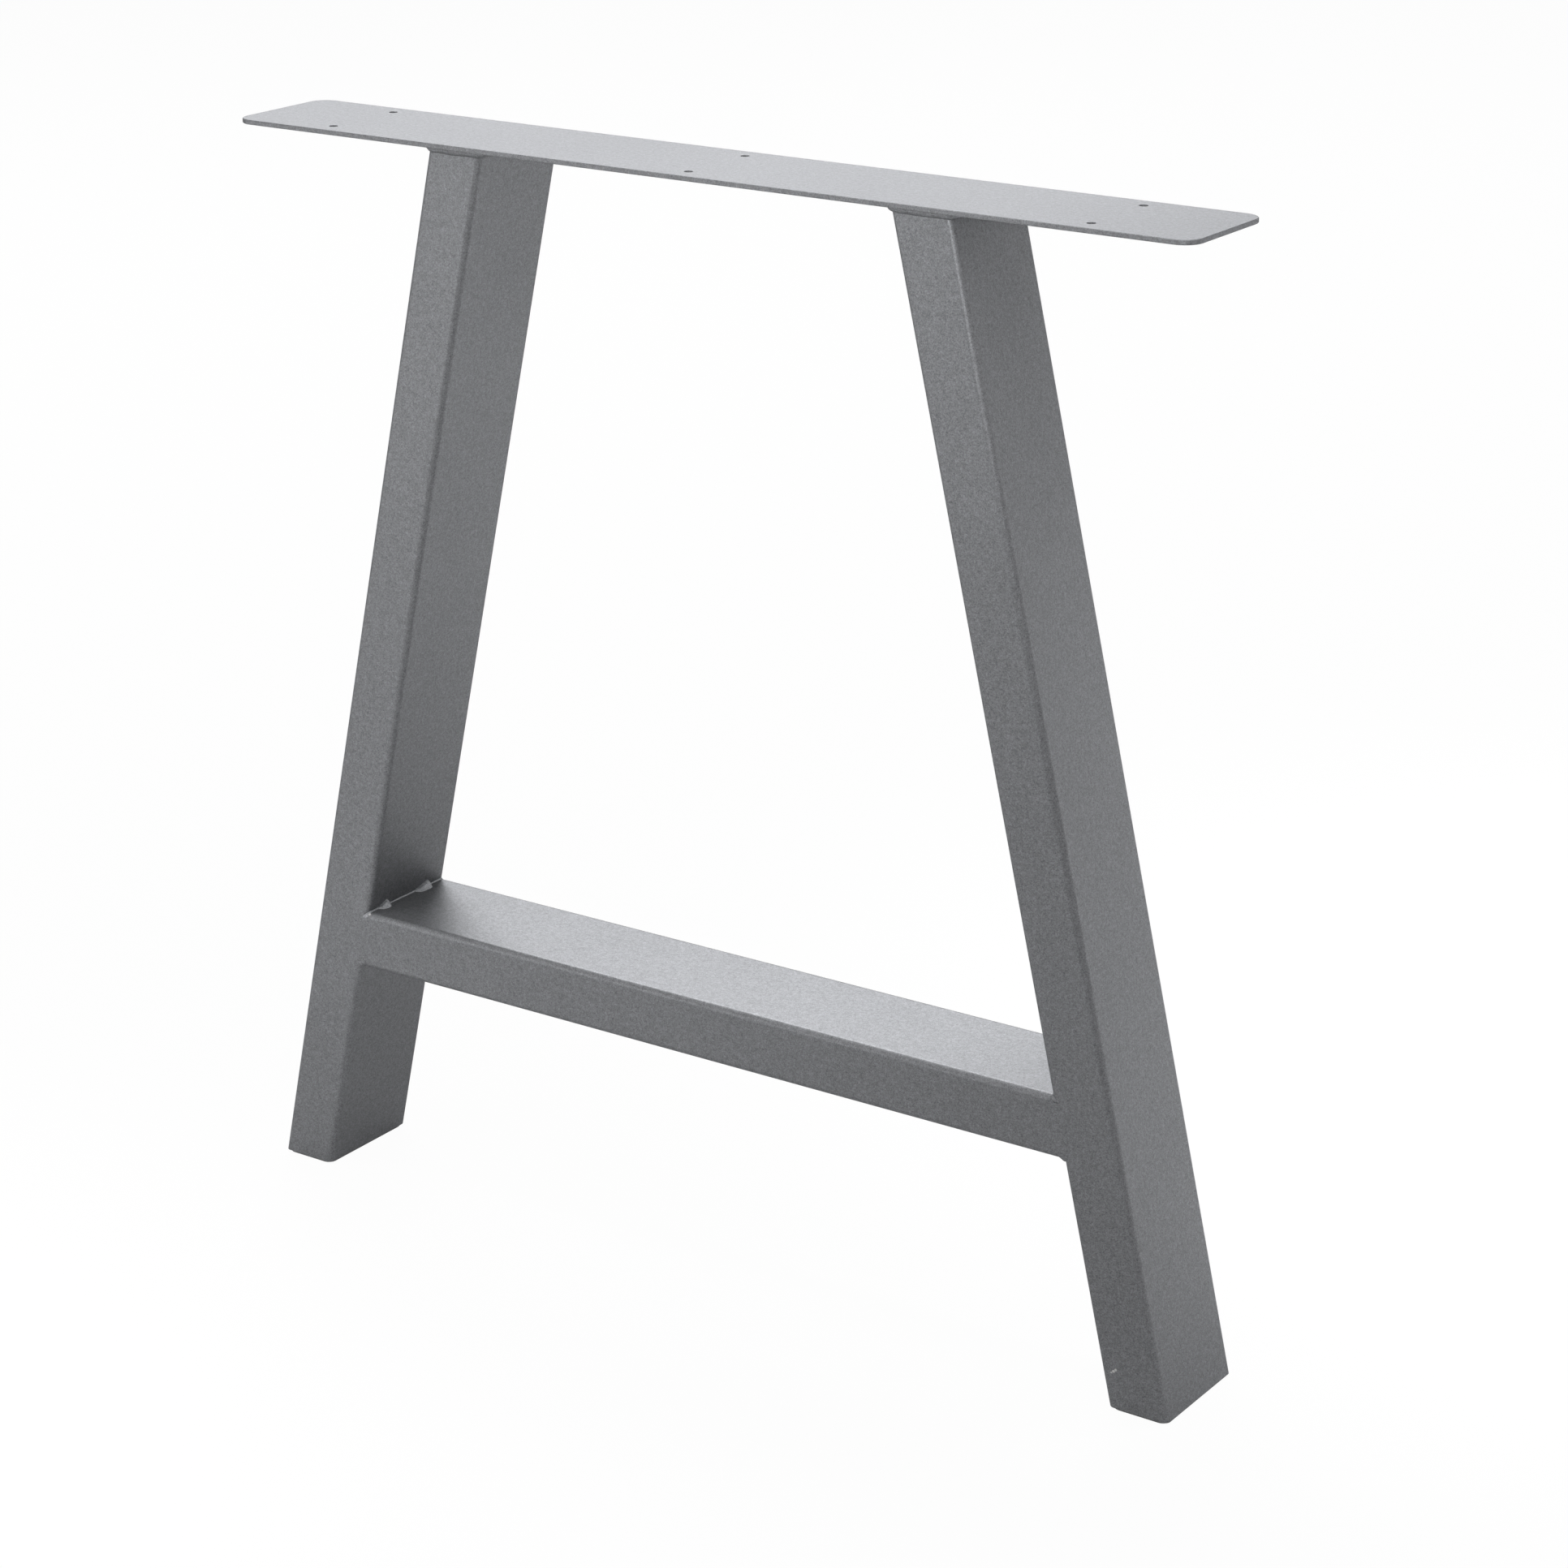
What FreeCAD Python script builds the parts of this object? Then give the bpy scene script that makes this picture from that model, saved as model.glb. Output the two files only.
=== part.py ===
import FreeCAD, Part
import math
import os

# A-frame table leg: two leaning rectangular tubes and a crossbar, welded under a drilled top plate.
# Millimetres. The origin is on the floor, midway between the feet and midway through the depth.
# +X runs from the left foot to the right foot, +Y to the back and +Z up.

# Overall sizes
HEIGHT = 720.0  # floor to the top of the plate
FOOT_SPAN = 700.0  # across the outer edges of the two tube ends at the floor
HEAD_SPAN = 378.0  # across the outer faces of the tubes where they meet the plate

# Rectangular tube of the legs
TUBE_DEPTH = 80.0  # along Y
TUBE_WIDTH = 40.0  # square to the tube's length, seen from the front
TUBE_WALL = 1.5
TUBE_CORNER = 4.0  # outer corner radius

# Crossbar, from a tube as deep as the legs, laid flat
BAR_UNDERSIDE = 156.0  # height of its underside above the floor
BAR_HEIGHT = 40.0
BAR_WALL = 1.5
BAR_CORNER = 4.0

# Top plate with its screw holes
PLATE_LENGTH = 690.0
PLATE_OVERHANG = 2.0  # past the tubes' front and back
PLATE_THICKNESS = 3.0
PLATE_CORNER = 12.0
PLATE_EDGE_BREAK = 0.4  # small chamfer round the top and bottom edges
HOLE_DIAMETER = 5.5
HOLE_END_DISTANCE = 71.0  # plate end to the centre of the outer holes
HOLE_ROW_SPACING = 58.0  # between the front row and the back row
HOLE_COLUMNS = 3

# Plastic plugs that close the lower tube ends and stand on the floor
FLANGE_THICKNESS = 1.5
FLANGE_INSET = 1.0  # flange edge to the tube's outer face
FLANGE_CORNER = 6.0
FLANGE_EDGE_BREAK = 0.4
PLUG_DEPTH = 16.0  # how far the plug reaches up into the tube
PLUG_WALL = 1.6
PLUG_GAP = 1.2  # plug wall to the tube's inner face
FIN_COUNT = 3
FIN_THICKNESS = 1.0
FIN_GAP = 0.1  # fin tip to the tube's inner face
RIB_COUNT = 3
RIB_THICKNESS = 1.4

# Welds
PLATE_WELD = 3.0  # leg length of the fillet under the plate
WELD_EDGE_GAP = 0.3  # weld toe to the edge of the plate
BAR_WELD = 4.0  # leg length of the fillet under the crossbar
SEAM_WELD = 1.2  # thin run on top of the crossbar
WELD_BULGE = 0.16  # how far a fillet's face bulges, as a share of its leg length
WELD_ROOT = 0.5  # how far the plate fillet's lower edge starts inside the tube's face
TACK_LENGTHS = (12.0, 17.0)  # the two lumps on the crossbar's top seam
TACK_PLACES = (-23.0, 20.0)  # their centres along the seam
TACK_HEIGHT = 5.5
TACK_REACH = 6.0
TACK_SINK = 0.8  # lump centre to the seam

# Worked out from the sizes above
PLATE_UNDERSIDE = HEIGHT - PLATE_THICKNESS
PLATE_DEPTH = TUBE_DEPTH + 2 * PLATE_OVERHANG
BAR_TOP = BAR_UNDERSIDE + BAR_HEIGHT
LEAN = math.atan((FOOT_SPAN - HEAD_SPAN) / 2 / (PLATE_UNDERSIDE - FLANGE_THICKNESS))
MARGIN = TUBE_DEPTH  # how far a blank runs past the planes that trim it


def outer_x(z):
    """Distance of a leg's outer face from the middle plane, at height z."""
    return FOOT_SPAN / 2 - (z - FLANGE_THICKNESS) * math.tan(LEAN)


def inner_x(z):
    """Distance of a leg's inner face from the middle plane, at height z."""
    return outer_x(z) - TUBE_WIDTH / math.cos(LEAN)


def axis_x(z):
    """Distance of a leg's centre line from the middle plane, at height z."""
    return (outer_x(z) + inner_x(z)) / 2


def rounded_rectangle(width, depth, corner, z=0.0):
    """Face of a rectangle with round corners, centred on the Z axis."""
    x, y = width / 2, depth / 2
    if corner <= 0:
        points = [(-x, -y), (x, -y), (x, y), (-x, y), (-x, -y)]
        return Part.Face(Part.makePolygon([FreeCAD.Vector(a, b, z) for a, b in points]))
    bend = corner * (1 - math.sqrt(0.5))
    edges = []
    for turn, (half_x, half_y) in enumerate([(x, y), (y, x), (x, y), (y, x)]):
        start = FreeCAD.Vector(-half_x + corner, -half_y, z)
        end = FreeCAD.Vector(half_x - corner, -half_y, z)
        middle = FreeCAD.Vector(half_x - bend, -half_y + bend, z)
        arc_end = FreeCAD.Vector(half_x, -half_y + corner, z)
        side = [Part.makeLine(start, end), Part.Arc(end, middle, arc_end).toShape()]
        for edge in side:
            edge.rotate(FreeCAD.Vector(0, 0, 0), FreeCAD.Vector(0, 0, 1), 90 * turn)
        edges += side
    return Part.Face(Part.Wire(edges))


def mirrored(shape):
    """The same shape on the left-hand side."""
    return shape.mirror(FreeCAD.Vector(0, 0, 0), FreeCAD.Vector(1, 0, 0))


def on_side(shape, side):
    """Shapes are made for the right-hand leg; the left-hand ones are mirrored."""
    return shape if side == "right" else mirrored(shape)


def leg_prism(width, depth, corner, z_low, z_high):
    """Bar of a rounded section that follows the right leg's lean, trimmed level at both ends."""
    length = (z_high - z_low) / math.cos(LEAN) + 2 * MARGIN
    section = rounded_rectangle(width, depth, corner)
    bar = section.extrude(FreeCAD.Vector(0, 0, length))
    bar.translate(FreeCAD.Vector(0, 0, -MARGIN))
    bar.rotate(FreeCAD.Vector(0, 0, 0), FreeCAD.Vector(0, 1, 0), -math.degrees(LEAN))
    bar.translate(FreeCAD.Vector(axis_x(z_low), 0, z_low))
    slab = Part.makeBox(
        FOOT_SPAN + 2 * MARGIN,
        depth + 2 * MARGIN,
        z_high - z_low,
        FreeCAD.Vector(-FOOT_SPAN / 2 - MARGIN, -depth / 2 - MARGIN, z_low),
    )
    return bar.common(slab)


def between_legs(z_low, z_high, depth, grow=0.0):
    """Block that fills the space between the legs' inner faces, or reaches into them by grow."""
    extra = grow / math.cos(LEAN)
    low, high = inner_x(z_low) + extra, inner_x(z_high) + extra
    corners = [(-low, z_low), (low, z_low), (high, z_high), (-high, z_high), (-low, z_low)]
    outline = Part.makePolygon([FreeCAD.Vector(x, -depth / 2, z) for x, z in corners])
    return Part.Face(outline).extrude(FreeCAD.Vector(0, depth, 0))


def leg_tube():
    """Open leg tube, from the plug's flange to the underside of the plate."""
    outside = leg_prism(TUBE_WIDTH, TUBE_DEPTH, TUBE_CORNER, FLANGE_THICKNESS, PLATE_UNDERSIDE)
    bore = leg_prism(
        TUBE_WIDTH - 2 * TUBE_WALL,
        TUBE_DEPTH - 2 * TUBE_WALL,
        TUBE_CORNER - TUBE_WALL,
        FLANGE_THICKNESS,
        PLATE_UNDERSIDE,
    )
    return outside.cut(bore)


def bar_prism(height, depth, corner):
    """Level bar of a rounded section through both legs, about the crossbar's centre line."""
    section = rounded_rectangle(height, depth, corner)
    bar = section.extrude(FreeCAD.Vector(0, 0, FOOT_SPAN))
    bar.rotate(FreeCAD.Vector(0, 0, 0), FreeCAD.Vector(0, 1, 0), 90)
    bar.translate(FreeCAD.Vector(-FOOT_SPAN / 2, 0, BAR_UNDERSIDE + BAR_HEIGHT / 2))
    return bar


def crossbar_tube():
    """Crossbar tube, its ends cut to the lean of the legs."""
    tube = bar_prism(BAR_HEIGHT, TUBE_DEPTH, BAR_CORNER)
    bore = bar_prism(BAR_HEIGHT - 2 * BAR_WALL, TUBE_DEPTH - 2 * BAR_WALL, BAR_CORNER - BAR_WALL)
    return tube.cut(bore).common(between_legs(BAR_UNDERSIDE, BAR_TOP, TUBE_DEPTH))


def top_plate():
    """Flat plate with round corners and two rows of screw holes."""
    plate = rounded_rectangle(PLATE_LENGTH, PLATE_DEPTH, PLATE_CORNER, PLATE_UNDERSIDE)
    plate = plate.extrude(FreeCAD.Vector(0, 0, PLATE_THICKNESS))
    level_edges = [e for e in plate.Edges if e.BoundBox.ZLength < PLATE_THICKNESS / 2]
    plate = plate.makeChamfer(PLATE_EDGE_BREAK, level_edges)
    first = -PLATE_LENGTH / 2 + HOLE_END_DISTANCE
    step = -2 * first / (HOLE_COLUMNS - 1)
    for column in range(HOLE_COLUMNS):
        for row in (-1, 1):
            place = FreeCAD.Vector(first + column * step, row * HOLE_ROW_SPACING / 2, PLATE_UNDERSIDE)
            plate = plate.cut(Part.makeCylinder(HOLE_DIAMETER / 2, PLATE_THICKNESS, place))
    return plate


def plug_flange():
    """Thin rounded flange of the plug, between the tube's end and the floor."""
    width = TUBE_WIDTH / math.cos(LEAN) - 2 * FLANGE_INSET
    flange = rounded_rectangle(width, TUBE_DEPTH - 2 * FLANGE_INSET, FLANGE_CORNER)
    flange = flange.extrude(FreeCAD.Vector(0, 0, FLANGE_THICKNESS))
    flange.translate(FreeCAD.Vector(axis_x(FLANGE_THICKNESS), 0, 0))
    floor_edges = [e for e in flange.Edges if e.BoundBox.ZMax < FLANGE_THICKNESS / 2]
    return flange.makeChamfer(FLANGE_EDGE_BREAK, floor_edges)


def foot_plug():
    """Ribbed push-in plug: flange, hollow body, grip fins round it and stiffening ribs in it."""
    top = FLANGE_THICKNESS + PLUG_DEPTH
    body_width = TUBE_WIDTH - 2 * (TUBE_WALL + PLUG_GAP)
    body_depth = TUBE_DEPTH - 2 * (TUBE_WALL + PLUG_GAP)
    body_corner = TUBE_CORNER - TUBE_WALL
    outside = leg_prism(body_width, body_depth, body_corner, FLANGE_THICKNESS, top)
    hollow_width = body_width - 2 * PLUG_WALL
    hollow_depth = body_depth - 2 * PLUG_WALL
    hollow = leg_prism(hollow_width, hollow_depth, 0, FLANGE_THICKNESS, top)
    plug = plug_flange().fuse(outside.cut(hollow))
    fin_width = TUBE_WIDTH - 2 * (TUBE_WALL + FIN_GAP)
    fin_depth = TUBE_DEPTH - 2 * (TUBE_WALL + FIN_GAP)
    fin_corner = TUBE_CORNER - TUBE_WALL
    for fin in range(FIN_COUNT):
        low = FLANGE_THICKNESS + PLUG_DEPTH * (fin + 1) / (FIN_COUNT + 1)
        high = low + FIN_THICKNESS
        ring = leg_prism(fin_width, fin_depth, fin_corner, low, high)
        plug = plug.fuse(ring.cut(leg_prism(hollow_width, hollow_depth, 0, low, high)))
    for rib in range(RIB_COUNT):
        y = hollow_depth * ((rib + 1) / (RIB_COUNT + 1) - 0.5)
        blade = leg_prism(hollow_width, RIB_THICKNESS, 0, FLANGE_THICKNESS, top)
        blade.translate(FreeCAD.Vector(0, y, 0))
        plug = plug.fuse(blade)
    return plug.removeSplitter()


def plate_weld():
    """Fillet weld all round the top of a leg, under the plate."""
    side_leg = PLATE_WELD
    front_leg = min(PLATE_WELD, PLATE_OVERHANG - WELD_EDGE_GAP)
    tube_width = TUBE_WIDTH / math.cos(LEAN)
    low = PLATE_UNDERSIDE - PLATE_WELD
    middle = PLATE_UNDERSIDE - PLATE_WELD * 0.5
    bulge = 0.5 + WELD_BULGE
    sections = []
    for z, share in ((low, 0.0), (middle, bulge), (PLATE_UNDERSIDE, 1.0)):
        grow = -WELD_ROOT * (1 - share)
        width = tube_width + 2 * (side_leg * share + grow)
        depth = TUBE_DEPTH + 2 * (front_leg * share + grow)
        corner = TUBE_CORNER + front_leg * share + grow
        section = rounded_rectangle(width, depth, corner, z)
        section.translate(FreeCAD.Vector(axis_x(z), 0, 0))
        sections.append(section.OuterWire)
    collar = Part.makeLoft(sections, True, True)
    return collar.cut(leg_prism(TUBE_WIDTH, TUBE_DEPTH, TUBE_CORNER, low - 1, PLATE_UNDERSIDE))


def fillet_run(corner, along_bar, along_leg, size, length):
    """Weld run along Y in a corner, with a face that bulges a little."""
    a = corner + along_bar * size
    b = corner + along_leg * size
    outward = along_bar + along_leg
    outward.normalize()
    middle = (a + b) * 0.5 + outward * (size * WELD_BULGE)
    edges = [Part.makeLine(corner, a), Part.Arc(a, middle, b).toShape(), Part.makeLine(b, corner)]
    run = Part.Face(Part.Wire(edges)).extrude(FreeCAD.Vector(0, length, 0))
    run.translate(FreeCAD.Vector(0, -length / 2, 0))
    return run


def tack_lump(place, length):
    """Rough lump of weld that sits in the seam between the crossbar's top and the leg."""
    lump = Part.makeSphere(1.0)
    stretch = FreeCAD.Matrix()
    stretch.scale(TACK_REACH, length / 2, TACK_HEIGHT)
    lump = lump.transformGeometry(stretch)
    centre_z = BAR_TOP - TACK_SINK
    lump.translate(FreeCAD.Vector(inner_x(centre_z) + TACK_SINK, place, centre_z))
    return lump


def flush_weld(face):
    """Weld ground flush with the front or back, in the notch beside the leg's round corner."""
    low, high = BAR_UNDERSIDE + BAR_CORNER, BAR_TOP - BAR_CORNER
    square = leg_prism(TUBE_WIDTH, TUBE_DEPTH, 0, low, high)
    notches = square.cut(leg_prism(TUBE_WIDTH, TUBE_DEPTH, TUBE_CORNER, low, high))
    strips = notches.common(between_legs(low, high, TUBE_DEPTH, TUBE_CORNER))
    toward = -1 if face == "front" else 1
    return [strip for strip in strips.Solids if strip.CenterOfMass.y * toward > 0][0]


def bar_weld_length():
    """Straight part of the crossbar's flat top and underside, between its round corners."""
    return TUBE_DEPTH - 2 * BAR_CORNER


def top_weld(tacks):
    """Thin weld on top of the crossbar, with the two rough lumps where it has them."""
    up_leg = FreeCAD.Vector(-math.sin(LEAN), 0, math.cos(LEAN))
    corner = FreeCAD.Vector(inner_x(BAR_TOP), 0, BAR_TOP)
    seam = fillet_run(corner, FreeCAD.Vector(-1, 0, 0), up_leg, SEAM_WELD, bar_weld_length())
    if tacks:
        leg = leg_prism(TUBE_WIDTH, TUBE_DEPTH, TUBE_CORNER, BAR_UNDERSIDE, BAR_TOP + MARGIN)
        bar = bar_prism(BAR_HEIGHT, TUBE_DEPTH, BAR_CORNER)
        for place, tack_length in zip(TACK_PLACES, TACK_LENGTHS):
            seam = seam.fuse(tack_lump(place, tack_length).cut(leg).cut(bar))
        seam = seam.removeSplitter()
    return seam


def under_weld():
    """Fillet weld in the corner under the crossbar."""
    down_leg = FreeCAD.Vector(math.sin(LEAN), 0, -math.cos(LEAN))
    corner = FreeCAD.Vector(inner_x(BAR_UNDERSIDE), 0, BAR_UNDERSIDE)
    return fillet_run(corner, FreeCAD.Vector(-1, 0, 0), down_leg, BAR_WELD, bar_weld_length())


def save(shape, name):
    """Writes one piece to its own file."""
    solids = shape.Solids
    shape = solids[0] if len(solids) == 1 else Part.makeCompound(solids)
    shape.exportStep(os.path.join("parts", name + ".step"))
    print(name, len(solids), "solids", round(shape.Volume, 1), "mm3", "valid", shape.isValid())


os.makedirs("parts", exist_ok=True)
save(top_plate(), "top_plate")
save(crossbar_tube(), "crossbar_tube")
for side in ("left", "right"):
    save(on_side(leg_tube(), side), side + "_leg_tube")
    save(on_side(foot_plug(), side), side + "_foot_plug")
    save(on_side(plate_weld(), side), side + "_plate_weld")
    save(on_side(top_weld(side == "left"), side), side + "_crossbar_top_weld")
    save(on_side(under_weld(), side), side + "_crossbar_under_weld")
    for face in ("front", "back"):
        save(on_side(flush_weld(face), side), side + "_crossbar_" + face + "_weld")
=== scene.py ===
import math

import bmesh
import bpy
from bpy.props import FloatProperty, FloatVectorProperty, IntProperty, PointerProperty
from mathutils import Matrix, Vector, noise


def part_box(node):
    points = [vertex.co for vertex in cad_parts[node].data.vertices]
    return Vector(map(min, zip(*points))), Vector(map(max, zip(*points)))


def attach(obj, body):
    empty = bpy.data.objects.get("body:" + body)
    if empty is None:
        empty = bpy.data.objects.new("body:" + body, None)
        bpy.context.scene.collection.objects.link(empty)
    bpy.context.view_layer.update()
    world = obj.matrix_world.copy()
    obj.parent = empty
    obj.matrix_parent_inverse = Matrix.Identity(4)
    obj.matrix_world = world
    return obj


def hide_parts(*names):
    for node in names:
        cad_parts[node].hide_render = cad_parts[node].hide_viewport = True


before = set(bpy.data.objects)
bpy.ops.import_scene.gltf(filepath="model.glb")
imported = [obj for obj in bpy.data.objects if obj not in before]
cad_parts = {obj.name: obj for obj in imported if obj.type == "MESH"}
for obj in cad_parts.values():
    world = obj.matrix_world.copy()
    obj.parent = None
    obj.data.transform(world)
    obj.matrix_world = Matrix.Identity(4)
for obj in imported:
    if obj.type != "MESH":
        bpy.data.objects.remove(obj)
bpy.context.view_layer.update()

bl_info = {
    "name": "Trestle Table Leg",
    "version": (1, 0, 0),
    "blender": (4, 5, 0),
    "location": "3D View > Sidebar > Table Leg",
    "description": "Coats and welds the steel A-frame table leg, and sets up its studio",
    "category": "Object",
}

# Metres. +X runs from the left foot to the right foot, +Y to the back and +Z up.
MM = 0.001
SIDES = {"left": -1, "right": 1}
FLUSH_WELDS = tuple(f"{side}_crossbar_{face}_weld" for side in SIDES for face in ("front", "back"))
COATED = ("top_plate", "left_leg_tube", "right_leg_tube", "crossbar_tube", *FLUSH_WELDS)
# Pieces that reach a chip in the coat, and pieces that reach the painted highlight at the left joint's
# front corner
CHIP_AND_HIGHLIGHT_PIECES = ("right_leg_tube", "left_leg_tube", "crossbar_tube", "left_crossbar_front_weld")
FOOT_PLUGS = tuple(f"{side}_foot_plug" for side in SIDES)

PLATE_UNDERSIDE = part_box("top_plate")[0].z
BAR_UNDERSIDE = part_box("crossbar_tube")[0].z
BAR_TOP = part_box("crossbar_tube")[1].z
TUBE_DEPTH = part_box("right_leg_tube")[1].y * 2
TUBE_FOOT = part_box("right_leg_tube")[0].z
BAR_HALF_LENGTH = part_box("crossbar_tube")[1].x
HEAD_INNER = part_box("right_leg_tube")[0].x
FOOT_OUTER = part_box("right_leg_tube")[1].x
# How far a leg runs outward for each metre down, and its width, measured level
LEAN = (BAR_HALF_LENGTH - HEAD_INNER) / (PLATE_UNDERSIDE - BAR_UNDERSIDE)
TUBE_WIDTH = FOOT_OUTER - BAR_HALF_LENGTH - (BAR_UNDERSIDE - TUBE_FOOT) * LEAN
# Outer corner radius of the tubes
TUBE_CORNER = 4 * MM


def inner_x(z):
    """Distance of a leg's inner face from the middle plane, at height z."""
    return HEAD_INNER + (PLATE_UNDERSIDE - z) * LEAN


def up_the_leg(side):
    """Unit vector up along a leg."""
    return Vector((-SIDES[side] * LEAN, 0, 1)).normalized()


# Settings

class CoatSettings(bpy.types.PropertyGroup):
    """The grey powder coat and the plastic of the feet"""

    colour: FloatVectorProperty(
        name="Coat Colour", description="Grey of the powder coat", subtype="COLOR", size=3,
        min=0, max=1, default=(0.188, 0.192, 0.200),
    )
    metallic: FloatProperty(
        name="Metallic", description="Share of metal flake in the coat", default=0.55, min=0, max=1,
        subtype="FACTOR",
    )
    roughness: FloatProperty(
        name="Roughness", description="Mean roughness of the coat", default=0.46, min=0, max=1,
        subtype="FACTOR",
    )
    edge_gloss: FloatVectorProperty(
        name="Edge Gloss", description="Tint of the metal flake's gloss at a flat angle",
        subtype="COLOR", size=3, min=0, max=1, default=(0.28, 0.28, 0.29),
    )
    grain: FloatProperty(
        name="Grain", description="Size of the coat's fine texture", default=0.75 * MM, min=0.1 * MM,
        precision=5, subtype="DISTANCE", unit="LENGTH",
    )
    grain_height: FloatProperty(
        name="Grain Height", description="Height of the fine texture", default=0.035 * MM, min=0,
        precision=5, subtype="DISTANCE", unit="LENGTH",
    )
    peel: FloatProperty(
        name="Peel", description="Size of the slow waves in the coat", default=7 * MM, min=1 * MM,
        precision=4, subtype="DISTANCE", unit="LENGTH",
    )
    # Pale metal of the chips; the painted highlight at the left joint's front corner has this colour
    # too
    chip_and_highlight_colour: FloatVectorProperty(
        name="Nick Colour", description="Pale metal where the coat is chipped", subtype="COLOR",
        size=3, min=0, max=1, default=(0.52, 0.52, 0.51),
    )
    nick_size: FloatProperty(
        name="Nick Size", description="Half the width of the chip on the right leg", default=1.0 * MM,
        min=0, precision=4, subtype="DISTANCE", unit="LENGTH",
    )
    nick_height: FloatProperty(
        name="Nick Height", description="Height of the chip above the floor", default=26.1 * MM, min=0,
        precision=4, subtype="DISTANCE", unit="LENGTH",
    )
    nick_inset: FloatProperty(
        name="Nick Inset", description="Distance of the chip from the leg's inner edge",
        default=8.8 * MM, min=0, precision=4, subtype="DISTANCE", unit="LENGTH",
    )
    # Half width of the painted highlight at the left joint's front corner, a pale spot drawn like a
    # chip
    tip_highlight_size: FloatProperty(
        name="Tip Size", description="Half the width of the chip at the left joint's front corner",
        default=0.9 * MM, min=0, precision=4, subtype="DISTANCE", unit="LENGTH",
    )
    foot_colour: FloatVectorProperty(
        name="Foot Colour", description="Grey of the plastic plugs", subtype="COLOR", size=3,
        min=0, max=1, default=(0.16, 0.16, 0.16),
    )


class WeldSettings(bpy.types.PropertyGroup):
    """Sizes of the weld beads"""

    plate_leg: FloatProperty(
        name="Plate Bead", description="Leg length of the bead under the plate", default=3.0 * MM,
        min=0, precision=4, subtype="DISTANCE", unit="LENGTH",
    )
    plate_reach: FloatProperty(
        name="Plate Reach", description="How far that bead reaches on the front and the back",
        default=1.6 * MM, min=0, precision=4, subtype="DISTANCE", unit="LENGTH",
    )
    bar_reach: FloatProperty(
        name="Crossbar Bead", description="How far the bead under the crossbar reaches along it",
        default=3.8 * MM, min=0, precision=4, subtype="DISTANCE", unit="LENGTH",
    )
    bar_height: FloatProperty(
        name="Crossbar Bead Height",
        description="How far the bead under the crossbar reaches down the leg",
        default=1.8 * MM, min=0, precision=4, subtype="DISTANCE", unit="LENGTH",
    )
    seam_leg: FloatProperty(
        name="Seam", description="Leg length of the thin run on top of the crossbar",
        default=0.95 * MM, min=0, precision=4, subtype="DISTANCE", unit="LENGTH",
    )
    lump_size: FloatProperty(
        name="Lump Size", description="Scale of the two lumps at the left joint",
        default=1.0, min=0, max=1.05, subtype="FACTOR",
    )
    ripple: FloatProperty(
        name="Ripple", description="Distance between a bead's ripples", default=2.2 * MM,
        min=0.5 * MM, precision=4, subtype="DISTANCE", unit="LENGTH",
    )
    ripple_depth: FloatProperty(
        name="Ripple Depth", description="Depth of the ripples, as a share of the bead's leg length",
        default=0.10, min=0, max=0.5, subtype="FACTOR",
    )
    wander: FloatProperty(
        name="Wander", description="Unevenness of a bead's edges, as a share of its leg length",
        default=0.16, min=0, max=0.5, subtype="FACTOR",
    )
    spokes: IntProperty(
        name="Spokes", description="Steps across a bead's face", default=10, min=3, max=40,
    )


class StudioSettings(bpy.types.PropertyGroup):
    """Camera, lamps and floor"""

    azimuth: FloatProperty(
        name="Azimuth", description="Camera's turn to the right of the front",
        default=math.radians(34.706), subtype="ANGLE", unit="ROTATION",
    )
    elevation: FloatProperty(
        name="Elevation", description="How far the camera looks down",
        default=math.radians(19.744), subtype="ANGLE", unit="ROTATION",
    )
    roll: FloatProperty(
        name="Roll", description="Camera's tilt to one side",
        default=math.radians(-0.359), subtype="ANGLE", unit="ROTATION",
    )
    camera_place: FloatVectorProperty(
        name="Camera Place", description="Camera's position", subtype="TRANSLATION", size=3,
        precision=4, default=(1.3555, -1.8914, 1.1633),
    )
    focal_length: FloatProperty(
        name="Focal Length", description="Camera's focal length, in millimetres on a 36 mm sensor",
        default=90.43, min=1, unit="CAMERA",
    )
    floor_colour: FloatVectorProperty(
        name="Floor Colour", description="Colour of the pale floor", subtype="COLOR", size=3,
        min=0, max=1, default=(0.62, 0.62, 0.62),
    )
    floor_white: FloatProperty(
        name="Floor White", description="How far the floor is lifted to white where it is seen",
        default=0.97, min=0, max=1, subtype="FACTOR",
    )
    floor_gloss: FloatProperty(
        name="Floor in Gloss", description="How far the floor is lifted to white in reflections",
        default=0.5, min=0, max=1, subtype="FACTOR",
    )
    fill: FloatProperty(
        name="Fill", description="Strength of the even light from all round", default=0.13, min=0,
    )
    top_lamp: FloatProperty(
        name="Top Lamp", description="Power of the lamp overhead", default=24, min=0, unit="POWER",
    )
    back_lamp: FloatProperty(
        name="Back Lamp", description="Power of the lamp behind the object", default=190, min=0,
        unit="POWER",
    )
    front_lamp: FloatProperty(
        name="Front Lamp", description="Power of the low lamp in front", default=4.0, min=0,
        unit="POWER",
    )
    edge_lamp: FloatProperty(
        name="Edge Lamp", description="Power of the lamp that lights the plate's edge", default=1.1,
        min=0, unit="POWER",
    )
    right_lamp: FloatProperty(
        name="Right Lamp", description="Power of the low lamp behind, on the right", default=2.6,
        min=0, unit="POWER",
    )
    floor_lamp: FloatProperty(
        name="Floor Lamp", description="Power of the narrow beam on the floor behind", default=12,
        min=0, unit="POWER",
    )
    step_lamp: FloatProperty(
        name="Step Lamp", description="Power of the narrow beam on the floor in front", default=4.2,
        min=0, unit="POWER",
    )


# Materials

# Numbers of the colour sockets on a mix node
COLOUR_A, COLOUR_B, COLOUR_RESULT = 6, 7, 2
# Range that most of a noise's values lie in
NOISE_CORE = (0.3, 0.7)

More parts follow.
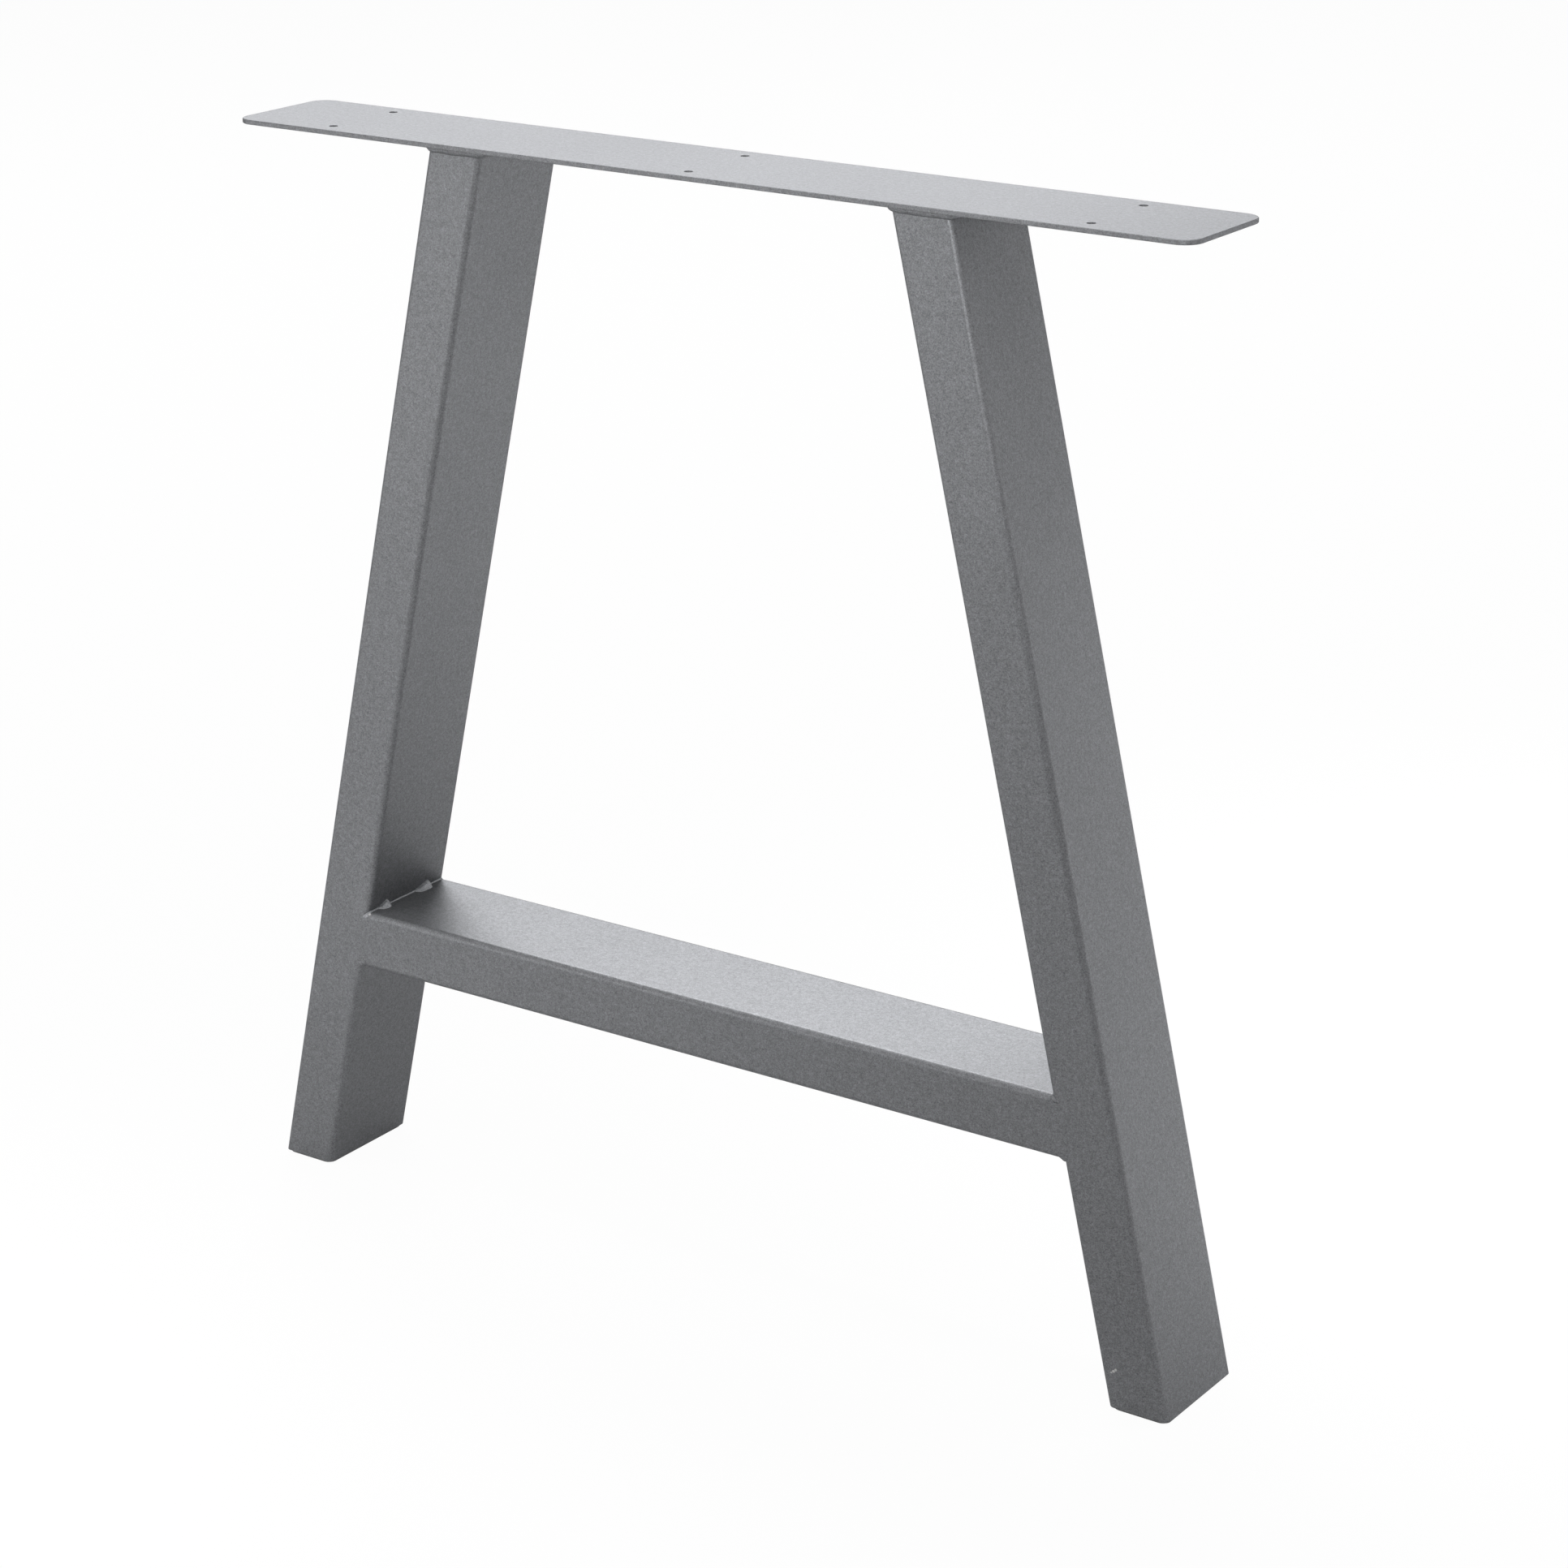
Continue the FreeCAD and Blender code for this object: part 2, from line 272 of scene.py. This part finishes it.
# Darkest and lightest shades, as factors on the coat's colour, and what the flakes add to them
GRAIN_SHADE = (0.71, 1.29)
CLOUD_SHADE = (0.95, 1.05)
MOTTLE_SHADE = (0.89, 1.11)
FLAKE_SHADE = (-0.17, 0.17)
# Sizes of the mottle and the flakes against the grain's, and of the clouds against the peel's
MOTTLE_SIZE = 3.2
FLAKE_SIZE = 0.8
CLOUD_SIZE = 12
ROUGHNESS_SPREAD = 0.07
# Heights of the slow waves and of a chip's edge against the grain's
WAVE_HEIGHT = 3
CHIP_DEPTH = 3
# How much higher the waves are on a bead, and how much paler the coat is on the left seam
BEAD_WAVE = 2.0
SEAM_PALE = 1.5

# A chip's rim, and the reach of its ragged edge, as shares of its half width; the painted highlight at
# the left joint uses the same
CHIP_RIM = (0.85, 1.1)
CHIP_RAGGED = 0.6
CHIP_NOISE = 0.9
# The long chip's parts: offset and half width, as shares of its size
NICK_PARTS = (((-1.5, 0, -1.1), 0.6), ((0, 0, 0), 1.0), ((1.5, 0, 1.3), 0.8))

# Texture of the moulded plastic
GRIT_SIZE = 0.5 * MM
GRIT_HEIGHT = 0.03 * MM
GRIT_SHADE = (0.9, 1.1)
GRIT_ROUGHNESS = (0.5, 0.66)
PLASTIC_CLOUD_SIZE = 9 * MM
PLASTIC_CLOUD_SHADE = (0.94, 1.06)


class NodeDesk:
    """One material, whose nodes it adds and joins up."""

    def __init__(self, name):
        self.material = bpy.data.materials.new(name)
        self.material.use_nodes = True
        self.tree = self.material.node_tree
        self.shader = self.tree.nodes["Principled BSDF"]
        self.place = self.add("ShaderNodeTexCoord").outputs["Object"]

    def add(self, kind, inputs=None, **settings):
        """New node with its settings and inputs."""
        node = self.tree.nodes.new(kind)
        for key, value in settings.items():
            setattr(node, key, value)
        for key, value in (inputs or {}).items():
            self.feed(node.inputs[key], value)
        return node

    def feed(self, socket, value):
        """Links a socket to another one, or sets its value."""
        if isinstance(value, bpy.types.NodeSocket):
            self.tree.links.new(value, socket)
        else:
            socket.default_value = value

    def noise(self, size, detail=2.0, rough=0.5):
        """Noise whose features are about size across, from 0 to 1."""
        inputs = {"Vector": self.place, "Scale": 1 / size, "Detail": detail, "Roughness": rough}
        return self.add("ShaderNodeTexNoise", inputs).outputs["Fac"]

    def spread(self, value, low, high, start=0.0, end=1.0):
        """Maps start..end to low..high, and stops there."""
        inputs = {"Value": value, "From Min": start, "From Max": end, "To Min": low, "To Max": high}
        return self.add("ShaderNodeMapRange", inputs).outputs["Result"]

    def math(self, operation, first, second):
        """Result of one operation on two values."""
        return self.add("ShaderNodeMath", {0: first, 1: second}, operation=operation).outputs[0]

    def tint(self, colour, factor):
        """A colour made lighter or darker by a factor."""
        grey = self.add("ShaderNodeCombineColor", {"Red": factor, "Green": factor, "Blue": factor})
        return self.mix_colour("MULTIPLY", 1.0, (*colour, 1), grey.outputs[0])

    def mix_colour(self, blend, factor, first, second):
        """Two colours mixed in one of the blend modes."""
        node = self.add("ShaderNodeMix", data_type="RGBA", blend_type=blend)
        self.feed(node.inputs["Factor"], factor)
        self.feed(node.inputs[COLOUR_A], first)
        self.feed(node.inputs[COLOUR_B], second)
        return node.outputs[COLOUR_RESULT]

    def bump(self, height, distance, normal=None):
        """Normal of a surface that rises by distance where height is 1, on top of normal."""
        inputs = {"Height": height, "Distance": distance, "Strength": 1.0}
        if normal:
            inputs["Normal"] = normal
        return self.add("ShaderNodeBump", inputs).outputs["Normal"]


def chip_and_highlight_places(coat):
    """Where the coat is chipped, and where a painted highlight sits at the left joint's front corner:
    centre and half width of each spot.
    """
    front = -TUBE_DEPTH / 2
    foot = Vector((inner_x(coat.nick_height) + coat.nick_inset, front, coat.nick_height))
    size, tip = coat.nick_size, coat.tip_highlight_size
    chips = [(foot + Vector(offset) * size, size * share) for offset, share in NICK_PARTS]
    # Painted highlight: a pale spot at the left joint's front corner, drawn like a chip
    joint = Vector((-inner_x(BAR_TOP) + tip, front + tip, BAR_TOP - tip))
    return chips + [(joint, tip)]


def chip_and_highlight_mask(desk, coat):
    """1 inside a chip and inside the painted highlight, 0 elsewhere, with a ragged edge."""
    mask = None
    for centre, half_width in chip_and_highlight_places(coat):
        offset = desk.add("ShaderNodeVectorMath", {0: desk.place, 1: centre}, operation="SUBTRACT")
        length = desk.add("ShaderNodeVectorMath", {0: offset.outputs[0]}, operation="LENGTH")
        rag = CHIP_RAGGED * half_width
        ragged = desk.spread(desk.noise(CHIP_NOISE * half_width, detail=3), -rag, rag)
        reach = desk.math("ADD", length.outputs["Value"], ragged)
        spot = desk.spread(reach, 1.0, 0.0, *(half_width * share for share in CHIP_RIM))
        mask = spot if mask is None else desk.math("MAXIMUM", mask, spot)
    return mask


def flake_cells(desk, size):
    """A value from 0 to 1 for each metal flake, about size across."""
    cells = desk.add("ShaderNodeTexVoronoi", {"Vector": desk.place, "Scale": 1 / size})
    return desk.add("ShaderNodeSeparateColor", {"Color": cells.outputs["Color"]}).outputs["Red"]


def coat_material(name, coat, with_chips_and_highlight=False, wave=1.0, pale=1.0):
    """Grey metallic powder coat with a fine grain, slow waves and metal flake."""
    desk = NodeDesk(name)
    grain = desk.noise(coat.grain, detail=3, rough=0.6)
    peel = desk.noise(coat.peel)
    clouds = desk.spread(desk.noise(coat.peel * CLOUD_SIZE), *CLOUD_SHADE)
    mottle = desk.spread(desk.noise(coat.grain * MOTTLE_SIZE), *MOTTLE_SHADE, *NOISE_CORE)
    flake = desk.spread(flake_cells(desk, coat.grain * FLAKE_SIZE), *FLAKE_SHADE)
    shade = desk.math("MULTIPLY", desk.spread(grain, *GRAIN_SHADE, *NOISE_CORE), clouds)
    shade = desk.math("ADD", desk.math("MULTIPLY", shade, mottle), flake)
    colour = desk.tint(coat.colour, desk.math("MULTIPLY", shade, pale))
    smooth, rough = coat.roughness - ROUGHNESS_SPREAD, coat.roughness + ROUGHNESS_SPREAD
    roughness = desk.spread(grain, smooth, rough, *NOISE_CORE)
    waves = desk.bump(peel, coat.grain_height * WAVE_HEIGHT * wave)
    normal = desk.bump(grain, coat.grain_height, waves)
    if with_chips_and_highlight:
        # Pale chips in the coat and a painted highlight at the left joint's front corner, each with a
        # coat edge round it
        mask = chip_and_highlight_mask(desk, coat)
        colour = desk.mix_colour("MIX", mask, colour, (*coat.chip_and_highlight_colour, 1))
        coated = desk.math("SUBTRACT", 1.0, mask)
        normal = desk.bump(coated, coat.grain_height * CHIP_DEPTH, normal)
    desk.feed(desk.shader.inputs["Base Color"], colour)
    desk.feed(desk.shader.inputs["Roughness"], roughness)
    desk.feed(desk.shader.inputs["Normal"], normal)
    desk.shader.inputs["Metallic"].default_value = coat.metallic
    desk.shader.inputs["Specular Tint"].default_value = (*coat.edge_gloss, 1)
    return desk.material


def foot_material(coat):
    """Matt moulded plastic with a fine spark-eroded texture."""
    desk = NodeDesk("moulded_plastic")
    grit = desk.noise(GRIT_SIZE, detail=3, rough=0.6)
    clouds = desk.spread(desk.noise(PLASTIC_CLOUD_SIZE), *PLASTIC_CLOUD_SHADE)
    shade = desk.math("MULTIPLY", desk.spread(grit, *GRIT_SHADE, *NOISE_CORE), clouds)
    desk.feed(desk.shader.inputs["Base Color"], desk.tint(coat.foot_colour, shade))
    desk.feed(desk.shader.inputs["Roughness"], desk.spread(grit, *GRIT_ROUGHNESS, *NOISE_CORE))
    desk.feed(desk.shader.inputs["Normal"], desk.bump(grit, GRIT_HEIGHT))
    return desk.material


def dress(piece, material):
    """Gives a piece one material."""
    piece.data.materials.clear()
    piece.data.materials.append(material)


# Weld beads

# Distance between places along a bead, and how deep it is sunk into what it joins
BEAD_STEP = 0.5 * MM
BEAD_SINK = 0.3 * MM
# How far a bead's face bulges and how thin it may get, as shares of its leg length
BEAD_BULGE = 0.18
COLLAR_BULGE = 0.1
BEAD_LEAST = 0.1
# How far the middle of a ripple runs ahead of its ends, as a share of the distance between ripples
RIPPLE_BEND = 0.5
# Length of a bead's uneven stretches
WANDER_SPAN = 4 * MM
# How far round the tubes' corners the beads beside the crossbar run
CORNER_TURN = math.radians(86)
CORNER_STEPS = 10
COLLAR_CORNER_STEPS = 8

LUMP_SINK = 0.5 * MM
# A lump's face as shares of its reach and its height, from the crossbar to the leg
LUMP_FACE = ((1.0, 0.0), (0.72, 0.38), (0.42, 0.78), (0.0, 1.0))
# Each lump's places along Y, with its reach along the crossbar and its height up the leg, in mm
LUMPS = (
    (
        (-30.0, 0.8, 0.5), (-28.3, 4.4, 1.8), (-25.0, 5.2, 3.0), (-21.5, 5.0, 4.8),
        (-19.0, 3.0, 2.6), (-17.6, 0.7, 0.5),
    ),
    (
        (8.0, 0.8, 0.5), (10.5, 4.6, 1.8), (14.0, 5.4, 2.9), (18.0, 5.6, 4.0),
        (21.5, 5.4, 5.0), (23.5, 2.6, 2.3), (24.5, 0.6, 0.5),
    ),
)


def fillet_radius(size_a, size_b, angle, share, bulge):
    """Distance from a fillet's corner to its face, in the direction share of the way from a to b."""
    turn = angle * share
    chord = size_a * size_b * math.sin(angle)
    chord /= size_a * math.sin(turn) + size_b * math.sin(angle - turn)
    return chord + bulge * math.sin(math.pi * share)


def bead_ripple(weld, size, distance, share):
    """Height of the ripples on a bead's face: crescents that bend along its run."""
    middle = math.sin(math.pi * share)
    crest = abs(math.sin(math.pi * (distance / weld.ripple + RIPPLE_BEND * middle)))
    return size * weld.ripple_depth * (crest - 0.5) * math.sqrt(middle)


def uneven(weld, size, point):
    """Slow unevenness of a bead at a point."""
    return size * weld.wander * noise.noise(point / WANDER_SPAN)


def sweep(stations, closed):
    """Mesh data of a bead: each station is the ring of points round it at one place of its run."""
    verts, faces = [], []
    row = len(stations[0])
    for station in stations:
        verts += station
    count = len(stations)
    for i in range(count if closed else count - 1):
        here, there = i * row, (i + 1) % count * row
        for k in range(row):
            n = (k + 1) % row
            faces.append((here + k, here + n, there + n, there + k))
    if not closed:
        faces.append(tuple(range(row))[::-1])
        faces.append(tuple((count - 1) * row + k for k in range(row)))
    return verts, faces


def bead_face(weld, root, toward_a, toward_b, size_a, size_b, distance, bulge=BEAD_BULGE):
    """Points across a bead's face at one place of its run, from side a to side b."""
    angle = toward_a.angle(toward_b)
    size = (size_a + size_b) / 2
    points = []
    for k in range(weld.spokes + 1):
        share = k / weld.spokes
        direction = toward_a.slerp(toward_b, share)
        radius = fillet_radius(size_a, size_b, angle, share, bulge * size)
        radius += bead_ripple(weld, size, distance, share)
        radius += uneven(weld, size, root + direction * radius)
        points.append(root + direction * max(radius, size * BEAD_LEAST))
    return points


def bead_places():
    """Places along a crossbar bead: y, and how far the tubes' round corners fall away there."""
    flat = TUBE_DEPTH / 2 - TUBE_CORNER
    count = round(2 * flat / BEAD_STEP)
    run = [(flat * (2 * i / count - 1), 0.0) for i in range(count + 1)]
    turns = [CORNER_TURN * (k + 1) / CORNER_STEPS for k in range(CORNER_STEPS)]
    end = [(flat + TUBE_CORNER * math.sin(turn), TUBE_CORNER * (1 - math.cos(turn))) for turn in turns]
    return [(-y, fall) for y, fall in reversed(end)] + run + end


def crossbar_bead(weld, corner, toward_bar, toward_leg, reach, height):
    """Bead along Y about a corner, whose ends follow the tubes' round corners and fill the notch."""
    inward = (toward_bar + toward_leg) / math.sin(toward_bar.angle(toward_leg))
    stations = []
    for y, fall in bead_places():
        root = corner + Vector((0, y, 0)) - inward * fall
        depth = TUBE_CORNER - fall if fall else BEAD_SINK
        deep = root - toward_leg * depth - toward_bar * BEAD_SINK
        face = bead_face(weld, root, toward_bar, toward_leg, reach + fall, height, y)
        stations.append([deep, deep + toward_bar * (fall + 2 * BEAD_SINK)] + face)
    return sweep(stations, closed=False)


def weld_lump(weld, corner, toward_bar, toward_leg, profile):
    """Rough lump in a corner, with flat facets, from its places along Y, reaches and heights in mm."""
    stations = []
    for y, reach, height in profile:
        root = corner + Vector((0, y * MM, 0))
        station = [root - (toward_bar + toward_leg) * LUMP_SINK]
        for bar_share, leg_share in LUMP_FACE:
            wobble = 1 + weld.wander * noise.noise(Vector((y, bar_share, leg_share)))
            across = toward_bar * reach * bar_share * wobble + toward_leg * height * leg_share
            station.append(root + across * weld.lump_size * MM)
        stations.append(station)
    return sweep(stations, closed=False)


def collar_bead(weld, side):
    """Bead round the top of a leg, under the plate."""
    sign = SIDES[side]
    centre = Vector((sign * (HEAD_INNER + TUBE_WIDTH / 2), 0, PLATE_UNDERSIDE))
    half_x, half_y = TUBE_WIDTH / 2 - TUBE_CORNER, TUBE_DEPTH / 2 - TUBE_CORNER
    down = -up_the_leg(side)
    stations = []
    run = 0.0
    for quarter in range(4):
        turn = Matrix.Rotation(math.pi / 2 * quarter, 3, "Z")
        across, along = (half_x, half_y) if quarter % 2 == 0 else (half_y, half_x)
        flat = int(2 * along / BEAD_STEP)
        for i in range(flat + COLLAR_CORNER_STEPS):
            if i < flat:
                offset, angle = -along + i * BEAD_STEP, 0.0
            else:
                offset, angle = along, math.pi / 2 * (i - flat) / COLLAR_CORNER_STEPS
            out = turn @ Vector((math.cos(angle), math.sin(angle), 0))
            root = turn @ Vector((across, offset, 0)) + out * TUBE_CORNER + centre
            reach = weld.plate_reach + (weld.plate_leg - weld.plate_reach) * out.x**2
            face = bead_face(weld, root, out, down, reach, weld.plate_leg, run, COLLAR_BULGE)
            stations.append([root - (out + down).normalized() * BEAD_SINK] + face)
            run += BEAD_STEP
    return sweep(stations, closed=True)


def joined(parts):
    """Several meshes' data as one."""
    verts, faces = [], []
    for part_verts, part_faces in parts:
        base = len(verts)
        verts += part_verts
        faces += [tuple(base + v for v in face) for face in part_faces]
    return verts, faces


def bead_piece(name, data, material, node, flat_faces=0):
    """Object of a bead that stands for a CAD node; its last flat_faces faces are shaded flat."""
    mesh = bpy.data.meshes.new(name)
    mesh.from_pydata(data[0], [], data[1])
    mesh.validate()
    mesh.update()
    rounded = len(mesh.polygons) - flat_faces
    for polygon in mesh.polygons:
        polygon.use_smooth = polygon.index < rounded
    piece = bpy.data.objects.new(name, mesh)
    bpy.context.scene.collection.objects.link(piece)
    outward_normals(mesh)
    dress(piece, material)
    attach(piece, "root")
    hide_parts(node)


def outward_normals(mesh):
    """Turns a closed mesh's faces outward."""
    work = bmesh.new()
    work.from_mesh(mesh)
    bmesh.ops.recalc_face_normals(work, faces=work.faces)
    work.to_mesh(mesh)
    work.free()


# Operators

class LEG_OT_coat(bpy.types.Operator):
    """Powder coats the plate, the tubes and the welds that were ground flush"""

    bl_idname = "table_leg.coat"
    bl_label = "Powder Coat"

    def execute(self, context):
        coat = context.scene.table_leg_coat
        plain = coat_material("powder_coat", coat)
        # This coat carries the chips and the painted highlight at the left joint's front corner
        chipped = coat_material("powder_coat_chipped", coat, with_chips_and_highlight=True)
        for name in COATED:
            dress(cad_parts[name], chipped if name in CHIP_AND_HIGHLIGHT_PIECES else plain)
        return {"FINISHED"}


class LEG_OT_feet(bpy.types.Operator):
    """Gives the plugs in the feet their moulded plastic"""

    bl_idname = "table_leg.feet"
    bl_label = "Feet"

    def execute(self, context):
        plastic = foot_material(context.scene.table_leg_coat)
        for name in FOOT_PLUGS:
            dress(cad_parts[name], plastic)
        return {"FINISHED"}


class LEG_OT_plate_welds(bpy.types.Operator):
    """Runs a bead round the top of each leg, under the plate"""

    bl_idname = "table_leg.plate_welds"
    bl_label = "Plate Welds"

    def execute(self, context):
        coat, weld = context.scene.table_leg_coat, context.scene.table_leg_weld
        material = coat_material("coated_plate_bead", coat, wave=BEAD_WAVE)
        for side in SIDES:
            bead_piece(f"{side}_plate_bead", collar_bead(weld, side), material, f"{side}_plate_weld")
        return {"FINISHED"}


class LEG_OT_crossbar_welds(bpy.types.Operator):
    """Runs the beads above and under the ends of the crossbar, with the left end's two lumps"""

    bl_idname = "table_leg.crossbar_welds"
    bl_label = "Crossbar Welds"

    def execute(self, context):
        coat, weld = context.scene.table_leg_coat, context.scene.table_leg_weld
        # The left top bead's coat carries the painted highlight at the joint's front corner
        pale = coat_material("coated_bead_pale", coat, with_chips_and_highlight=True, wave=BEAD_WAVE, pale=SEAM_PALE)
        plain = coat_material("coated_bead", coat, wave=BEAD_WAVE)
        for side, sign in SIDES.items():
            inward = Vector((-sign, 0, 0))
            up = up_the_leg(side)
            top = Vector((sign * inner_x(BAR_TOP), 0, BAR_TOP))
            low = Vector((sign * inner_x(BAR_UNDERSIDE), 0, BAR_UNDERSIDE))
            seam = crossbar_bead(weld, top, inward, up, weld.seam_leg, weld.seam_leg)
            lumps = [weld_lump(weld, top, inward, up, lump) for lump in LUMPS if side == "left"]
            flat = sum(len(faces) for _, faces in lumps)
            bead_piece(
                f"{side}_crossbar_top_bead", joined([seam] + lumps), pale if lumps else plain,
                f"{side}_crossbar_top_weld", flat,
            )
            under = crossbar_bead(weld, low, inward, -up, weld.bar_reach, weld.bar_height)
            bead_piece(f"{side}_crossbar_under_bead", under, plain, f"{side}_crossbar_under_weld")
        return {"FINISHED"}


# Side of the square floor
FLOOR_SIZE = 40.0
SENSOR_WIDTH_MM = 36.0
# Nearest and furthest distance that the camera sees
CLIP = (0.05, 100)
# Each lamp's place, target, width and height in metres, and the spread of its beam in degrees
LAMPS = {
    "top_lamp": ((0.2, -0.5, 2.4), (0, 0, 0.3), (2.2, 2.2), 180),
    "back_lamp": ((-2.7, 2.9, 3.2), (0, 0, 0.5), (3.2, 1.4), 180),
    "front_lamp": ((-1.0, -1.15, 0.42), (0, 0, 0.45), (1.2, 0.7), 180),
    "edge_lamp": ((0.9, -1.5, 1.1), (0.3, 0, 0.9), (0.8, 0.2), 36),
    "right_lamp": ((1.3, 1.7, 0.25), (0.25, 0, 0.35), (0.9, 0.4), 180),
    "floor_lamp": ((0.65, 0.7, 2.4), (0.65, 0.7, 0), (0.9, 0.5), 36),
    "step_lamp": ((-0.55, -0.6, 2.4), (-0.55, -0.6, 0), (1.2, 0.4), 30),
}


class LEG_OT_studio(bpy.types.Operator):
    """Sets up the floor, the lamps, the background and the camera"""

    bl_idname = "table_leg.studio"
    bl_label = "Studio"

    def execute(self, context):
        studio = context.scene.table_leg_studio
        self.make_floor(context, studio)
        self.make_world(context, studio)
        for name, (place, target, size, spread) in LAMPS.items():
            self.make_lamp(context, name, place, target, size, spread, getattr(studio, name))
        self.make_camera(context, studio)
        context.scene.view_settings.view_transform = "Standard"
        return {"FINISHED"}

    def make_floor(self, context, studio):
        """Pale floor that the camera sees as nearly white, with the object's shadow on it."""
        half = FLOOR_SIZE / 2
        corners = [(-half, -half, 0), (half, -half, 0), (half, half, 0), (-half, half, 0)]
        mesh = bpy.data.meshes.new("studio_floor")
        mesh.from_pydata(corners, [], [(0, 1, 2, 3)])
        floor = bpy.data.objects.new("studio_floor", mesh)
        context.scene.collection.objects.link(floor)
        desk = NodeDesk("studio_floor")
        desk.shader.inputs["Base Color"].default_value = (*studio.floor_colour, 1)
        desk.shader.inputs["Roughness"].default_value = 1.0
        desk.shader.inputs["Specular IOR Level"].default_value = 0.0
        white = desk.add("ShaderNodeEmission", {"Color": (1, 1, 1, 1), "Strength": 1.0})
        lift = floor_lift(desk, studio)
        shaders = {0: lift, 1: desk.shader.outputs[0], 2: white.outputs[0]}
        mixed = desk.add("ShaderNodeMixShader", shaders)
        desk.feed(desk.tree.nodes["Material Output"].inputs["Surface"], mixed.outputs[0])
        dress(floor, desk.material)

    def make_world(self, context, studio):
        """White background that lights the object only faintly."""
        world = bpy.data.worlds.new("studio")
        world.use_nodes = True
        context.scene.world = world
        nodes, links = world.node_tree.nodes, world.node_tree.links
        background = nodes["Background"]
        background.inputs["Color"].default_value = (1, 1, 1, 1)
        path = nodes.new("ShaderNodeLightPath")
        seen = path.outputs["Is Camera Ray"]
        for name in ("Is Glossy Ray", "Is Transmission Ray"):
            either = nodes.new("ShaderNodeMath")
            either.operation = "MAXIMUM"
            links.new(seen, either.inputs[0])
            links.new(path.outputs[name], either.inputs[1])
            seen = either.outputs[0]
        level = nodes.new("ShaderNodeMapRange")
        level.inputs["To Min"].default_value = studio.fill
        level.inputs["To Max"].default_value = 1.0
        links.new(seen, level.inputs["Value"])
        links.new(level.outputs["Result"], background.inputs["Strength"])

    def make_lamp(self, context, name, place, target, size, spread, power):
        """Soft lamp that the camera doesn't see."""
        lamp = bpy.data.lights.new(name, "AREA")
        lamp.shape = "RECTANGLE"
        lamp.size, lamp.size_y = size
        lamp.energy = power
        lamp.spread = math.radians(spread)
        holder = bpy.data.objects.new(name, lamp)
        holder.location = place
        holder.rotation_euler = (Vector(target) - Vector(place)).to_track_quat("-Z", "Y").to_euler()
        holder.visible_camera = False
        context.scene.collection.objects.link(holder)

    def make_camera(self, context, studio):
        """Camera at the studio's place and angles."""
        camera = bpy.data.cameras.new("photo_camera")
        camera.sensor_width = SENSOR_WIDTH_MM
        camera.lens = studio.focal_length
        camera.clip_start, camera.clip_end = CLIP
        holder = bpy.data.objects.new("photo_camera", camera)
        turn, dip = studio.azimuth, studio.elevation
        back = Vector((math.sin(turn) * math.cos(dip), -math.cos(turn) * math.cos(dip), math.sin(dip)))
        level = Vector((0, 0, 1)).cross(back).normalized()
        upright = back.cross(level)
        right = level * math.cos(studio.roll) + upright * math.sin(studio.roll)
        up = upright * math.cos(studio.roll) - level * math.sin(studio.roll)
        pose = Matrix((right, up, back)).transposed().to_4x4()
        pose.translation = Vector(studio.camera_place)
        holder.matrix_world = pose
        context.scene.collection.objects.link(holder)
        context.scene.camera = holder


def floor_lift(desk, studio):
    """How far the floor is lifted to white: seen by the camera, or in a gloss or through glass."""
    path = desk.add("ShaderNodeLightPath")
    mirrored = desk.math("MAXIMUM", path.outputs["Is Glossy Ray"], path.outputs["Is Transmission Ray"])
    mirrored = desk.math("MULTIPLY", mirrored, studio.floor_gloss)
    seen = desk.math("MULTIPLY", path.outputs["Is Camera Ray"], studio.floor_white)
    return desk.math("MAXIMUM", seen, mirrored)


class LEG_PT_panel(bpy.types.Panel):
    """Shows the settings and the steps that dress the table leg"""

    bl_idname = "LEG_PT_panel"
    bl_label = "Table Leg"
    bl_space_type = "VIEW_3D"
    bl_region_type = "UI"
    bl_category = "Table Leg"

    def draw(self, context):
        for scene_name, _, steps in GROUPS:
            box = self.layout.box()
            group = getattr(context.scene, scene_name)
            for name in group.__annotations__:
                box.prop(group, name)
            for step in steps:
                box.operator(step.bl_idname)


# Each group of settings: its name in the scene, its class and the steps that use it
GROUPS = (
    ("table_leg_coat", CoatSettings, (LEG_OT_coat, LEG_OT_feet)),
    ("table_leg_weld", WeldSettings, (LEG_OT_plate_welds, LEG_OT_crossbar_welds)),
    ("table_leg_studio", StudioSettings, (LEG_OT_studio,)),
)
CLASSES = [cls for _, settings, steps in GROUPS for cls in (settings, *steps)] + [LEG_PT_panel]


def register():
    for cls in CLASSES:
        bpy.utils.register_class(cls)
    for name, settings, _ in GROUPS:
        setattr(bpy.types.Scene, name, PointerProperty(type=settings))


def unregister():
    for name, _, _ in GROUPS:
        delattr(bpy.types.Scene, name)
    for cls in reversed(CLASSES):
        bpy.utils.unregister_class(cls)


def main():
    register()
    bpy.ops.table_leg.coat()
    bpy.ops.table_leg.feet()
    bpy.ops.table_leg.plate_welds()
    bpy.ops.table_leg.crossbar_welds()
    bpy.ops.table_leg.studio()


if __name__ == "__main__":
    main()
